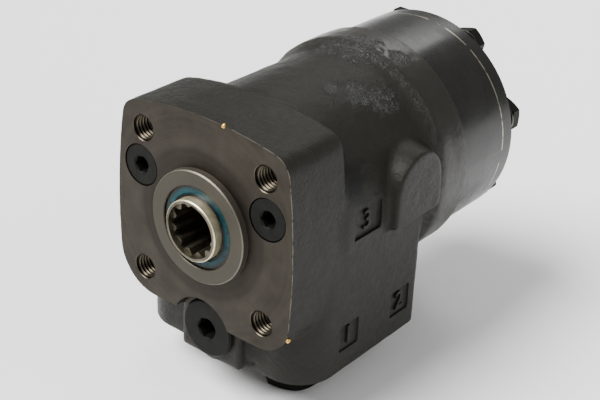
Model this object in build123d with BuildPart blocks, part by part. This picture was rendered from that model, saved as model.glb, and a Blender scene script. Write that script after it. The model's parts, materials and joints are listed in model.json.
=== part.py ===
from build123d import *
import math
import os

# Orbital steering unit: a rotary valve and a gerotor gear set in one turned stack.
# The main axis is Y. The mounting face is at station 0, the front is towards -Y,
# Z is up and the ports open downwards. Lengths are millimetres.

# Mounting flange, seen from the front
flange_half_width = 42.4
flange_top = 43.0
flange_base = 40.0
flange_side_bulge = 3.6
flange_top_bulge = 4.9
flange_base_inset = 2.1
flange_upper_corner = 8.5
flange_lower_right_corner = 14.0
flange_lower_left_corner = 18.0
flange_depth = 31.0
flange_rear_round = 2.5
neck_front = 24.0
neck_front_radius = 42.0
mount_square = 58.34
mount_tap_radius = 4.25
mount_tap_depth = 18.0
spigot_radius = 22.2
spigot_height = 3.0
spigot_chamfer = 0.5

# Round body behind the flange
neck_radius = 43.5
sweep_length = 8.4
ring_width = 16.6
ring_radius = 47.0
ring_edge = 0.7

# Port block under the neck
port_face = 60.0
block_half_width = 42.4
block_front = 10.0
block_ring_gap = 2.7
block_top = 10.0
block_front_corner = 16.0
block_rear_corner = 4.0
port_half_spacing = 16.5
front_port_setback = 26.0
rear_port_setback = 13.7
port_radius = 9.5
port_depth = 16.5
port_depth_step = 1.0
port_mouth = 1.0
sense_port_radius = 5.9
sense_port_depth = 12.0
passage_radius = 2.4

# Boss for the relief valve, under the flange
boss_front = 5.0
boss_radius = 15.0
relief_drop = 46.0
spotface_radius = 14.4
cast_rib_offset = 17.4
cast_rib_width = 2.0
cast_rib_height = 0.8
cast_rib_top = 38.0
cast_rib_bottom = 55.0
cast_pit_drop = 57.0
cast_pit_radius = 1.2
cast_pit_depth = 1.2

# Lug on the right side of the neck
lug_face = 47.5
lug_root = 36.0
lug_length = 28.4
lug_ring_gap = 2.0
lug_bottom = 7.0
lug_round_centre = 6.3
lug_draft = 10.0

# Recessed label windows
window_recess = 0.7
window_corner = 1.0
front_window_setback = 20.5
front_window_width = 11.5
rear_window_setback = 7.7
rear_window_width = 12.0
window_low = -51.5
window_high = -40.0
neck_window_gap = 3.5
neck_window_width = 16.0
neck_window_low = -4.5
neck_window_high = 7.5
neck_window_floor = 42.2

# Bore for the valve set
bore_radius = 19.0
bore_front = 11.0
gallery_width = 5.0
gallery_depth = 2.5
tank_gallery = 32.0
gallery_spacing = 8.0
pin_setback = 12.5
metering_setback = 13.0
joint_setback = 16.0
running_clearance = 0.03
overcut = 1.0

# Input shaft and its seals
shaft_radius = 12.0
shaft_front = -6.3
shaft_chamfer = 0.4
shaft_passage_clearance = 0.3
seal_seat_radius = 16.25
seal_seat_depth = 3.0
seal_front = 2.0
seal_fit = 0.05
seal_lip_clearance = 0.15
seal_lip_wall = 0.9
seal_lip_rear = 0.5
seal_lip_front = -0.8
seal_lip_flat = 0.3
seal_lip_stand = 0.6
seal_lip_slope = 1.3
shaft_seal_front = 5.5
shaft_seal_width = 4.0
shaft_seal_radius = 15.1

# Internal spline, twelve teeth, 30 degree flanks
spline_teeth = 12
spline_tip_radius = 8.75
spline_root_radius = 10.65
spline_pitch_radius = 9.525
spline_flank_angle = 30.0
spline_foot_sink = 0.5
spline_lead_in = 1.8
spline_length = 17.5
spline_runout = 3.0

# Thrust bearing behind the shaft seal
race_thickness = 1.0
race_inner_radius = 12.6
race_outer_radius = 18.8
needle_radius = 0.94
needle_length = 4.4
needle_count = 12
cage_thickness = 1.4
cage_inner_radius = 13.0
cage_outer_radius = 18.4
bearing_gap = 0.05

# Spool and control sleeve
spool_radius = 14.0
spool_recess = 5.0
spool_bore_radius = 11.0
spool_bore_start = 31.0
spool_slot_width = 3.5
spool_slot_depth = 1.5
spool_slot_count = 6
sleeve_start_gap = 0.3
sleeve_end_gap = 0.4
sleeve_hole_radius = 1.7
sleeve_hole_count = 6
deflection = 10.0

# Cross pin
pin_radius = 4.0
pin_end_gap = 0.2
pin_fit = 0.02
pin_chamfer = 0.4
pin_spool_gap = 0.4

# Centring leaf springs and the ring that holds them
leaf_front = 19.2
leaf_width = 8.0
leaf_thickness = 0.6
leaf_gap = 0.02
leaf_rise = 1.4
leaf_half_length = 17.2
leaf_slot_gap = 0.05
curved_leaves = 2
spring_ring_front = 18.0
spring_ring_width = 11.0
spring_ring_inner = 17.6

# Gear set: six-tooth rotor in a seven-lobe ring
gear_teeth = 6
gear_width = 16.2
eccentricity = 3.3
lobe_radius = 8.0
lobe_circle = 39.0
lobe_phase = 13.0
gear_clearance = 0.06
gear_side_gap = 0.05
valley_clearance = 0.06
valley_corner = 2.5
points_per_tooth = 20
stack_radius = 45.0
plate_thickness = 14.0
plate_bore_radius = 13.0
cover_thickness = 8.0
cover_chamfer = 1.2
feed_circle = 33.0
feed_radius = 2.5
feed_depth = 20.0

# Cardan shaft
cardan_head_radius = 9.0
cardan_head_front = 9.0
cardan_head_rear = 10.0
cardan_slot_gap = 0.1
cardan_slot_floor_gap = 0.6
cardan_shaft_radius = 6.0
cardan_tooth_gap = 0.35
cardan_tooth_length = 12.0
cardan_mesh_setback = 0.8
spacer_radius = 8.2
spacer_gap = 0.2

# Cover bolts, M8 with hexagon heads, through the lobes of the gear ring
bolt_circle = 38.0
bolt_radius = 4.0
bolt_hole_radius = 4.2
bolt_thread_radius = 3.35
bolt_tap_radius = 3.4
bolt_engagement = 16.0
bolt_tap_depth = 18.0
bolt_head_flats = 13.0
bolt_head_height = 5.3
bolt_head_chamfer = 0.5
washer_radius = 6.9
washer_thickness = 1.0

# O-rings between the stacked pieces, outside the bolts
o_ring_circle = 43.4
o_ring_radius = 0.6
groove_half_width = 0.65
groove_depth = 1.25

# Check valve in the rear face and suction valves under two bolts
check_circle = 26.0
check_angle = 270.1
check_bore_radius = 4.2
check_bore_depth = 22.0
check_ball_radius = 3.9
check_bush_radius = 5.0
check_bush_length = 7.0
check_bush_hole = 2.5
suction_bolt_count = 2
suction_bore_radius = 3.0
suction_bore_length = 14.0
suction_ball_radius = 2.9
suction_pin_radius = 2.5
suction_pin_length = 6.8
valve_fit = 0.04

# Pilot relief valve in the boss
relief_tap_radius = 9.3
relief_tap_end = 17.0
relief_tap_runout = 1.0
relief_bore_radius = 5.0
relief_bore_end = 42.0
relief_link_radius = 2.0
relief_head_radius = 12.0
relief_head_front = 3.0
relief_head_chamfer = 0.5
relief_socket_flats = 8.0
relief_socket_depth = 6.5
relief_washer = 0.6
washer_inset = 0.25
relief_screw_front = 17.3
relief_screw_length = 3.7
relief_seat_front = 34.5
relief_seat_hole = 2.0
relief_collar_radius = 4.7
relief_collar_front = 30.6
relief_collar_length = 1.4
relief_stem_radius = 2.2
relief_stem_front = 24.0
relief_nose_radius = 3.5
relief_nose_length = 4.6
relief_spring_radius = 3.6

# Shock valves beside the input shaft
shock_offset = 30.5
shock_height = 13.8
shock_plug_radius = 8.3
shock_plug_front = 0.2
shock_plug_length = 9.3
shock_socket_flats = 6.0
shock_socket_depth = 5.0
shock_tap_depth = 10.5
shock_bore_radius = 4.6
shock_bore_end = 42.0
shock_screw_front = 11.0
shock_screw_length = 4.0
shock_seat_front = 30.0
shock_seat_length = 7.0
shock_seat_hole = 2.0
shock_ball_radius = 3.0
shock_spring_radius = 2.6
screw_socket_flats = 4.0
spring_wire_radius = 0.5
spring_end_gap = 0.1
spring_turns = 5

# Hexagon plug in the tank port
tank_plug_flats = 22.0
tank_plug_turn = -10.4
tank_plug_reach = 16.6
tank_plug_flange_radius = 13.0
tank_plug_flange = 1.3
tank_plug_thread = 10.0
tank_plug_seal = 1.2
tank_plug_chamfer = 0.6
thread_fit = 0.1

# Stations that follow from the sizes above
pump_gallery = tank_gallery + gallery_spacing
pin_station = pump_gallery + pin_setback
right_gallery = pin_station + pin_setback
left_gallery = right_gallery + gallery_spacing
metering_station = left_gallery + metering_setback
housing_length = metering_station + joint_setback
ring_front = housing_length - ring_width
sweep_start = ring_front - sweep_length
block_rear = ring_front - block_ring_gap
front_port_station = block_front + front_port_setback
rear_port_station = block_rear - rear_port_setback
sense_port_station = (front_port_station + rear_port_station) / 2
lug_rear = ring_front - lug_ring_gap
lug_front = lug_rear - lug_length
spool_end = housing_length - spool_recess
sleeve_end = housing_length - sleeve_end_gap
bolt_end = housing_length - bolt_engagement
suction_bore_end = bolt_end - suction_bore_length
joint_station = housing_length
gear_front = housing_length + plate_thickness
gear_rear = gear_front + gear_width
unit_end = gear_rear + cover_thickness
lobes = gear_teeth + 1
race_rear_front = bore_front + race_thickness + 2 * needle_radius + 2 * bearing_gap
spool_shoulder = race_rear_front + race_thickness + bearing_gap
spool_body_radius = spool_radius - running_clearance
sleeve_radius = bore_radius - running_clearance
lobe_angles = [lobe_phase + 360 / lobes * k for k in range(lobes)]
both_sides = ((-1, "left"), (1, "right"))

os.makedirs("parts", exist_ok=True)


def section(station):
    """Plane square to the main axis at a station, seen from the front: X right, Z up."""
    return Plane.XZ.offset(-station)


def radial_plane(station, angle, radius=0.0):
    """Plane facing outwards from the main axis at a station and an angle from +X."""
    out = Vector(math.cos(math.radians(angle)), 0, math.sin(math.radians(angle)))
    return Plane(origin=Vector(0, station, 0) + out * radius, x_dir=(0, 1, 0), z_dir=out)


def turned(*corners):
    """Half section of (station, radius) corners, for turning about the main axis."""
    with BuildSketch(Plane.YZ) as half:
        with BuildLine():
            Polyline(*corners, close=True)
        make_face()
    return half.sketch


def ring_section(front, rear, inner, outer):
    """Half section of a plain ring."""
    return turned((front, inner), (rear, inner), (rear, outer), (front, outer))


def disc(station, radius, at=(0, 0), hole=0.0):
    """Round outline, with or without a hole, on the section plane at a station."""
    with BuildSketch(section(station)) as outline:
        with Locations(at):
            Circle(radius)
            if hole:
                Circle(hole, mode=Mode.SUBTRACT)
    return outline.sketch


def hexagon(station, flats, at=(0, 0), turn=0.0):
    """Hexagon outline across given flats, on the section plane at a station."""
    with BuildSketch(section(station)) as outline:
        with Locations(at):
            RegularPolygon(flats / 2, 6, major_radius=False, rotation=turn)
    return outline.sketch


def round_pattern(station, radius, circle, angles):
    """Equal round outlines at the given angles of a circle about the main axis."""
    with BuildSketch(section(station)) as outline:
        for angle in angles:
            with PolarLocations(circle, 1, start_angle=angle):
                Circle(radius)
    return outline.sketch


def polar(circle, angle):
    """Point of a circle in the section plane."""
    return (circle * math.cos(math.radians(angle)), circle * math.sin(math.radians(angle)))


def spline_outline(plane, tip_radius, root_radius, gap=0.0):
    """Spline outline: a tip circle with the tooth spaces, narrowed all round by a gap."""
    pitch_half = math.pi * spline_pitch_radius / spline_teeth / 2
    slope = math.tan(math.radians(spline_flank_angle))
    foot = tip_radius - gap - spline_foot_sink
    crest = root_radius - gap
    foot_half = pitch_half + (spline_pitch_radius - foot) * slope - gap
    crest_half = pitch_half - (crest - spline_pitch_radius) * slope - gap
    with BuildSketch(plane) as outline:
        Circle(tip_radius - gap)
        with PolarLocations(0, spline_teeth):
            Polygon(
                (foot, -foot_half),
                (crest, -crest_half),
                (crest, crest_half),
                (foot, foot_half),
                align=None,
            )
    return outline.sketch


def rotor_point(angle):
    """Point of the rotor's outline: the path of a lobe centre, moved in by the lobe."""
    tooth = (gear_teeth + 1) * angle
    x = lobe_circle * math.cos(angle) - eccentricity * math.cos(tooth)
    z = lobe_circle * math.sin(angle) - eccentricity * math.sin(tooth)
    dx = -lobe_circle * math.sin(angle) + (gear_teeth + 1) * eccentricity * math.sin(tooth)
    dz = lobe_circle * math.cos(angle) - (gear_teeth + 1) * eccentricity * math.cos(tooth)
    inset = (lobe_radius + gear_clearance) / math.hypot(dx, dz)
    return (x - dz * inset, z + dx * inset)


def coil_spring(front, rear, radius, at):
    """Round-wire compression spring along the main axis, about a point of the section."""
    height = rear - front - 2 * spring_wire_radius
    with BuildPart() as spring:
        with BuildLine() as path:
            Helix(
                pitch=height / spring_turns,
                height=height,
                radius=radius,
                center=(at[0], front + spring_wire_radius, at[1]),
                direction=(0, 1, 0),
            )
        with BuildSketch(Plane(origin=path.line @ 0, z_dir=path.line % 0)):
            Circle(spring_wire_radius)
        sweep()
    return spring


# Housing casting: flange block, neck with its rear ring, port block, boss and lug
upper_right = (flange_half_width - flange_side_bulge, flange_top - flange_top_bulge)
upper_left = (-upper_right[0], upper_right[1])
lower_right = (flange_half_width - flange_base_inset, -flange_base)
lower_left = (-lower_right[0], lower_right[1])

with BuildPart() as housing:
    with BuildSketch(section(0)):
        with BuildLine():
            Line(lower_left, lower_right)
            ThreePointArc(lower_right, (flange_half_width, 0), upper_right)
            ThreePointArc(upper_right, (0, flange_top), upper_left)
            ThreePointArc(upper_left, (-flange_half_width, 0), lower_left)
        make_face()
        fillet(vertices().group_by(Axis.Y)[-1], flange_upper_corner)
        fillet(vertices().group_by(Axis.Y)[0].sort_by(Axis.X)[-1], flange_lower_right_corner)
        fillet(vertices().group_by(Axis.Y)[0].sort_by(Axis.X)[0], flange_lower_left_corner)
    extrude(amount=-flange_depth)
    fillet(faces().sort_by(Axis.Y)[-1].edges(), flange_rear_round)

    with BuildSketch(Plane.YZ):
        with BuildLine():
            Polyline(
                (neck_front, 0),
                (neck_front, neck_front_radius),
                (flange_depth, neck_radius),
                (sweep_start, neck_radius),
            )
            TangentArc(
                (sweep_start, neck_radius), (ring_front, ring_radius - ring_edge), tangent=(1, 0)
            )
            Polyline(
                (ring_front, ring_radius - ring_edge),
                (ring_front + ring_edge, ring_radius),
                (housing_length, ring_radius),
                (housing_length, 0),
                (neck_front, 0),
            )
        make_face()
    revolve(axis=Axis.Y)

    with BuildSketch(Plane.XY.offset(-port_face)):
        with Locations((0, (block_front + block_rear) / 2)):
            Rectangle(2 * block_half_width, block_rear - block_front)
        fillet(vertices().group_by(Axis.Y)[0], block_front_corner)
        fillet(vertices().group_by(Axis.Y)[-1], block_rear_corner)
    extrude(amount=port_face - block_top)

    with BuildSketch(section(boss_front)):
        with Locations((0, -relief_drop)):
            Circle(boss_radius)
        with Locations((0, -(relief_drop + port_face) / 2)):
            Rectangle(2 * boss_radius, port_face - relief_drop)
    extrude(amount=boss_front - block_front)

    with BuildSketch(section(block_front - cast_rib_height)):
        with Locations((cast_rib_offset, -(cast_rib_top + cast_rib_bottom) / 2)):
            SlotOverall(cast_rib_bottom - cast_rib_top, cast_rib_width, rotation=90)
    extrude(amount=-2 * cast_rib_height)

    lug_growth = (lug_face - lug_root) * math.tan(math.radians(lug_draft))
    lug_middle = (lug_front + lug_rear) / 2
    for offset_x, growth in ((lug_root, lug_growth), (lug_face, 0)):
        half = (lug_rear - lug_front) / 2 + growth
        low = -lug_bottom - growth
        with BuildSketch(Plane.YZ.offset(offset_x)):
            with BuildLine():
                Polyline(
                    (lug_middle - half, lug_round_centre),
                    (lug_middle - half, low),
                    (lug_middle + half, low),
                    (lug_middle + half, lug_round_centre),
                )
                ThreePointArc(
                    (lug_middle + half, lug_round_centre),
                    (lug_middle, lug_round_centre + half),
                    (lug_middle - half, lug_round_centre),
                )
            make_face()
    loft()

    spigot = turned(
        (-spigot_height, 0),
        (-spigot_height, spigot_radius - spigot_chamfer),
        (spigot_chamfer - spigot_height, spigot_radius),
        (spigot_chamfer, spigot_radius),
        (spigot_chamfer, 0),
    )
    revolve(spigot, axis=Axis.Y)

    # Valve bore with the seal seat in front and the oil galleries in its wall
    passage = shaft_radius + shaft_passage_clearance
    shaft_seal_rear = shaft_seal_front + shaft_seal_width
    valve_bore = turned(
        (-spigot_height - overcut, 0),
        (-spigot_height - overcut, seal_seat_radius),
        (seal_seat_depth, seal_seat_radius),
        (seal_seat_depth, passage),
        (shaft_seal_front, passage),
        (shaft_seal_front, shaft_seal_radius),
        (shaft_seal_rear, shaft_seal_radius),
        (shaft_seal_rear, passage),
        (bore_front, passage),
        (bore_front, bore_radius),
        (housing_length + overcut, bore_radius),
        (housing_length + overcut, 0),
    )
    revolve(valve_bore, axis=Axis.Y, mode=Mode.SUBTRACT)
    for station in (tank_gallery, pump_gallery, right_gallery, left_gallery):
        gallery = ring_section(
            station - gallery_width / 2,
            station + gallery_width / 2,
            bore_radius - overcut,
            bore_radius + gallery_depth,
        )
        revolve(gallery, axis=Axis.Y, mode=Mode.SUBTRACT)

    # Tapped mounting holes
    with BuildSketch(section(0)):
        with GridLocations(mount_square, mount_square, 2, 2):
            Circle(mount_tap_radius)
    extrude(amount=-mount_tap_depth, mode=Mode.SUBTRACT)

    # Shock valve bores
    for side in (-1, 1):
        centre = (side * shock_offset, shock_height)
        extrude(disc(0, shock_plug_radius, centre), amount=-shock_tap_depth, mode=Mode.SUBTRACT)
        extrude(disc(0, shock_bore_radius, centre), amount=-shock_bore_end, mode=Mode.SUBTRACT)

    # Relief valve bore, with its spotface cut up into the flange
    relief_centre = (0, -relief_drop)
    extrude(
        disc(-overcut, spotface_radius, relief_centre),
        amount=-overcut - boss_front,
        mode=Mode.SUBTRACT,
    )
    extrude(disc(0, relief_tap_radius, relief_centre), amount=-relief_tap_end, mode=Mode.SUBTRACT)
    extrude(disc(0, relief_bore_radius, relief_centre), amount=-relief_bore_end, mode=Mode.SUBTRACT)
    extrude(
        disc(0, relief_link_radius, relief_centre), amount=-sense_port_station, mode=Mode.SUBTRACT
    )
    with BuildSketch(section(block_front)):
        with Locations((cast_rib_offset, -cast_pit_drop)):
            Circle(cast_pit_radius)
    extrude(amount=-cast_pit_depth, mode=Mode.SUBTRACT)

    # Ports in the bottom face: each is stepped a little shorter than the one before
    ports = (
        (-port_half_spacing, front_port_station),
        (port_half_spacing, rear_port_station),
        (-port_half_spacing, rear_port_station),
        (port_half_spacing, front_port_station),
    )
    for k, place in enumerate(ports):
        with BuildSketch(Plane.XY.offset(-port_face)):
            with Locations(place):
                Circle(port_radius)
        extrude(amount=port_depth - k * port_depth_step, mode=Mode.SUBTRACT)
        with BuildSketch(Plane.XY.offset(-port_face)):
            with Locations(place):
                Circle(port_radius + port_mouth)
        extrude(amount=port_mouth, taper=45, mode=Mode.SUBTRACT)
    with BuildSketch(Plane.XY.offset(-port_face)):
        with Locations((0, sense_port_station)):
            Circle(sense_port_radius)
    extrude(amount=sense_port_depth, mode=Mode.SUBTRACT)
    with BuildSketch(Plane.XY.offset(-port_face)):
        with Locations((0, sense_port_station)):
            Circle(sense_port_radius + port_mouth)
    extrude(amount=port_mouth, taper=45, mode=Mode.SUBTRACT)
    passage_top = math.sqrt((bore_radius + gallery_depth / 2) ** 2 - port_half_spacing**2)
    with BuildSketch(Plane.XY.offset(-port_face + sense_port_depth)):
        with Locations(
            (port_half_spacing, tank_gallery),
            (-port_half_spacing, pump_gallery),
            (port_half_spacing, right_gallery),
            (-port_half_spacing, left_gallery),
        ):
            Circle(passage_radius)
    extrude(amount=port_face - sense_port_depth - passage_top, mode=Mode.SUBTRACT)

    # Rear joint face: bolt holes, feed holes with their radial links, O-ring groove
    rear_taps = round_pattern(joint_station, bolt_tap_radius, bolt_circle, lobe_angles)
    extrude(rear_taps, amount=bolt_tap_depth, mode=Mode.SUBTRACT)
    feed_angles = [angle + 180 / lobes for angle in lobe_angles]
    extrude(
        round_pattern(joint_station, feed_radius, feed_circle, feed_angles),
        amount=feed_depth,
        mode=Mode.SUBTRACT,
    )
    for angle in feed_angles:
        with BuildSketch(radial_plane(metering_station, angle, bore_radius - overcut)):
            Circle(feed_radius)
        extrude(amount=feed_circle - bore_radius + overcut, mode=Mode.SUBTRACT)
    extrude(
        disc(joint_station, o_ring_circle + groove_half_width, hole=o_ring_circle - groove_half_width),
        amount=groove_depth,
        mode=Mode.SUBTRACT,
    )
    check_centre = polar(check_circle, check_angle)
    extrude(
        disc(joint_station, check_bore_radius, check_centre),
        amount=check_bore_depth,
        mode=Mode.SUBTRACT,
    )
    extrude(
        disc(joint_station, check_bush_radius, check_centre),
        amount=check_bush_length,
        mode=Mode.SUBTRACT,
    )
    suction_angles = lobe_angles[1 : 1 + suction_bolt_count]
    extrude(
        round_pattern(joint_station, suction_bore_radius, bolt_circle, suction_angles),
        amount=joint_station - suction_bore_end,
        mode=Mode.SUBTRACT,
    )

    # Label windows, recessed and bare
    window_height = window_high - window_low
    for side in (-1, 1):
        with BuildSketch(Plane.YZ.offset(side * (block_half_width + overcut))):
            for middle, width in (
                (block_front + front_window_setback + front_window_width / 2, front_window_width),
                (block_rear - rear_window_setback - rear_window_width / 2, rear_window_width),
            ):
                with Locations((middle, (window_low + window_high) / 2)):
                    RectangleRounded(width, window_height, window_corner)
        extrude(amount=-side * (window_recess + overcut), mode=Mode.SUBTRACT)
    with BuildSketch(Plane.YZ.offset(neck_window_floor)):
        with Locations(
            (
                flange_depth + neck_window_gap + neck_window_width / 2,
                (neck_window_low + neck_window_high) / 2,
            )
        ):
            RectangleRounded(neck_window_width, neck_window_high - neck_window_low, window_corner)
    extrude(amount=lug_face - neck_window_floor, mode=Mode.SUBTRACT)
housing.part.label = "housing"
export_step(housing.part, "parts/housing.step")

# Dust seal in the spigot, its lip just clear of the shaft
with BuildPart() as dust_seal:
    lip = shaft_radius + seal_lip_clearance
    seal_outer = seal_seat_radius - seal_fit
    seal_rear = seal_seat_depth - seal_fit
    dust_seal_section = turned(
        (-seal_front, seal_outer),
        (seal_rear, seal_outer),
        (seal_rear, lip + seal_lip_wall),
        (seal_lip_rear, lip + seal_lip_wall),
        (seal_lip_front, lip),
        (-seal_front - seal_lip_flat, lip),
        (-seal_front - seal_lip_stand, lip + seal_lip_stand),
        (-seal_front, lip + seal_lip_slope),
    )
    revolve(dust_seal_section, axis=Axis.Y)
dust_seal.part.label = "dust_seal"
export_step(dust_seal.part, "parts/dust_seal.step")

# Pressure seal in its groove behind the dust seal
with BuildPart() as shaft_seal:
    shaft_seal_section = ring_section(
        shaft_seal_front + seal_fit,
        shaft_seal_rear - seal_fit,
        shaft_radius + seal_lip_clearance,
        shaft_seal_radius - seal_fit,
    )
    revolve(shaft_seal_section, axis=Axis.Y)
shaft_seal.part.label = "shaft_seal"
export_step(shaft_seal.part, "parts/shaft_seal.step")

# Thrust bearing: two races with a cage of radial needles between them
with BuildPart() as front_race:
    revolve(
        ring_section(bore_front, bore_front + race_thickness, race_inner_radius, race_outer_radius),
        axis=Axis.Y,
    )
front_race.part.label = "front_race"
export_step(front_race.part, "parts/front_race.step")

with BuildPart() as rear_race:
    revolve(
        ring_section(
            race_rear_front, race_rear_front + race_thickness, race_inner_radius, race_outer_radius
        ),
        axis=Axis.Y,
    )
rear_race.part.label = "rear_race"
export_step(rear_race.part, "parts/rear_race.step")

needle_station = (bore_front + race_thickness + race_rear_front) / 2
needle_circle = (cage_inner_radius + cage_outer_radius) / 2
with BuildPart() as needle_cage:
    revolve(
        ring_section(
            needle_station - cage_thickness / 2,
            needle_station + cage_thickness / 2,
            cage_inner_radius,
            cage_outer_radius,
        ),
        axis=Axis.Y,
    )
    with BuildSketch(section(needle_station - cage_thickness)):
        with PolarLocations(needle_circle, needle_count):
            Rectangle(needle_length + 2 * bearing_gap, 2 * needle_radius + 2 * bearing_gap)
    extrude(amount=-2 * cage_thickness, mode=Mode.SUBTRACT)
needle_cage.part.label = "needle_cage"
export_step(needle_cage.part, "parts/needle_cage.step")

with BuildPart() as needles:
    for k in range(needle_count):
        angle = 360 / needle_count * k
        with BuildSketch(radial_plane(needle_station, angle, needle_circle - needle_length / 2)):
            Circle(needle_radius)
        extrude(amount=needle_length)
needles.part.label = "needles"
export_step(needles.part, "parts/needles.step")

# Spool: splined input shaft in front, slotted valve body behind its shoulder
leaf_rear = leaf_front + leaf_width
leaf_stack = leaf_gap / 2 + (curved_leaves + 1) * (leaf_thickness + leaf_gap) + leaf_rise
leaf_slot_half = leaf_stack + leaf_slot_gap
with BuildPart() as spool:
    spool_section = turned(
        (shaft_front, 0),
        (shaft_front, shaft_radius - shaft_chamfer),
        (shaft_front + shaft_chamfer, shaft_radius),
        (spool_shoulder, shaft_radius),
        (spool_shoulder, spool_body_radius),
        (spool_end, spool_body_radius),
        (spool_end, 0),
    )
    revolve(spool_section, axis=Axis.Y)
    spline_start = shaft_front + spline_lead_in
    spline_end = spline_start + spline_length
    extrude(disc(shaft_front, spline_root_radius), amount=-spline_lead_in, mode=Mode.SUBTRACT)
    extrude(
        spline_outline(section(spline_start), spline_tip_radius, spline_root_radius),
        amount=-spline_length,
        mode=Mode.SUBTRACT,
    )
    extrude(disc(spline_end, spline_root_radius), amount=-spline_runout, mode=Mode.SUBTRACT)
    extrude(
        disc(spool_bore_start, spool_bore_radius),
        amount=spool_bore_start - spool_end,
        mode=Mode.SUBTRACT,
    )
    # Slot for the leaf springs, right across the spool
    with BuildSketch(section(leaf_front - leaf_slot_gap)):
        Rectangle(2 * leaf_slot_half, 2 * bore_radius)
    extrude(amount=-leaf_width - 2 * leaf_slot_gap, mode=Mode.SUBTRACT)
    # Openings for the cross pin, long enough for the deflection each way
    pin_opening = pin_radius + pin_spool_gap
    pin_travel = spool_radius * math.sin(math.radians(deflection))
    with BuildSketch(Plane.YZ.offset(-spool_radius)):
        with Locations((pin_station, 0)):
            SlotCenterToCenter(2 * pin_travel, 2 * pin_opening, rotation=90)
    extrude(amount=2 * spool_radius, mode=Mode.SUBTRACT)
    # Metering slots along the outside
    slot_front = right_gallery - gallery_width / 2
    with BuildSketch(section(slot_front)):
        with PolarLocations(spool_body_radius, spool_slot_count):
            Rectangle(2 * spool_slot_depth, spool_slot_width)
    extrude(amount=slot_front - metering_station - gallery_width / 2, mode=Mode.SUBTRACT)
    slot_front = tank_gallery - gallery_width / 2
    with BuildSketch(section(slot_front)):
        with PolarLocations(spool_body_radius, spool_slot_count, start_angle=180 / spool_slot_count):
            Rectangle(2 * spool_slot_depth, spool_slot_width)
    extrude(amount=tank_gallery - pump_gallery - gallery_width, mode=Mode.SUBTRACT)
spool.part.label = "spool"
export_step(spool.part, "parts/spool.step")

# Control sleeve round the spool
sleeve_front = spool_shoulder + sleeve_start_gap
with BuildPart() as control_sleeve:
    sleeve_section = turned(
        (sleeve_front, spool_radius),
        (sleeve_end, spool_radius),
        (sleeve_end, sleeve_radius),
        (spring_ring_front + spring_ring_width, sleeve_radius),
        (spring_ring_front + spring_ring_width, spring_ring_inner),
        (spring_ring_front, spring_ring_inner),
        (spring_ring_front, sleeve_radius),
        (sleeve_front, sleeve_radius),
    )
    revolve(sleeve_section, axis=Axis.Y)
    with BuildSketch(section(leaf_front - leaf_slot_gap)):
        Rectangle(2 * leaf_slot_half, 2 * bore_radius)
    extrude(amount=-leaf_width - 2 * leaf_slot_gap, mode=Mode.SUBTRACT)
    with BuildSketch(Plane.YZ.offset(-bore_radius)):
        with Locations((pin_station, 0)):
            Circle(pin_radius + pin_fit)
    extrude(amount=2 * bore_radius, mode=Mode.SUBTRACT)
    row_turn = 0
    for station in (tank_gallery, pump_gallery, right_gallery, left_gallery, metering_station):
        for k in range(sleeve_hole_count):
            angle = 360 / sleeve_hole_count * (k + row_turn)
            with BuildSketch(radial_plane(station, angle, spool_radius - overcut)):
                Circle(sleeve_hole_radius)
            extrude(amount=bore_radius - spool_radius + 2 * overcut, mode=Mode.SUBTRACT)
        row_turn = 0.5 - row_turn
control_sleeve.part.label = "control_sleeve"
export_step(control_sleeve.part, "parts/control_sleeve.step")

# Ring that keeps the leaf springs in the sleeve
with BuildPart() as spring_ring:
    revolve(
        ring_section(
            spring_ring_front + seal_fit,
            spring_ring_front + spring_ring_width - seal_fit,
            spring_ring_inner + running_clearance,
            sleeve_radius,
        ),
        axis=Axis.Y,
    )
spring_ring.part.label = "spring_ring"
export_step(spring_ring.part, "parts/spring_ring.step")

# Leaf springs: two flat leaves between bowed ones, back to back
with BuildPart() as centring_springs:
    for side in (-1, 1):
        flat_middle = side * (leaf_gap + leaf_thickness) / 2
        with BuildSketch(section(leaf_front)):
            with Locations((flat_middle, 0)):
                Rectangle(leaf_thickness, 2 * leaf_half_length)
        extrude(amount=-leaf_width)
        for k in range(curved_leaves):
            near = leaf_gap / 2 + (k + 1) * (leaf_thickness + leaf_gap)
            far = near + leaf_thickness
            with BuildSketch(section(leaf_front)):
                with BuildLine():
                    inner_top = (side * (near + leaf_rise), leaf_half_length)
                    inner_low = (side * (near + leaf_rise), -leaf_half_length)
                    outer_top = (side * (far + leaf_rise), leaf_half_length)
                    outer_low = (side * (far + leaf_rise), -leaf_half_length)
                    ThreePointArc(inner_top, (side * near, 0), inner_low)
                    Line(inner_low, outer_low)
                    ThreePointArc(outer_low, (side * far, 0), outer_top)
                    Line(outer_top, inner_top)
                make_face()
            extrude(amount=-leaf_width)
centring_springs.part.label = "centring_springs"
export_step(centring_springs.part, "parts/centring_springs.step")

# Cross pin through sleeve, spool and cardan shaft
pin_half_length = math.sqrt((bore_radius - pin_end_gap) ** 2 - pin_radius**2)
with BuildPart() as cross_pin:
    with BuildSketch(Plane.YZ.offset(-pin_half_length)):
        with Locations((pin_station, 0)):
            Circle(pin_radius)
    extrude(amount=2 * pin_half_length)
    chamfer(edges().filter_by(GeomType.CIRCLE), pin_chamfer)
cross_pin.part.label = "cross_pin"
export_step(cross_pin.part, "parts/cross_pin.step")

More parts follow.
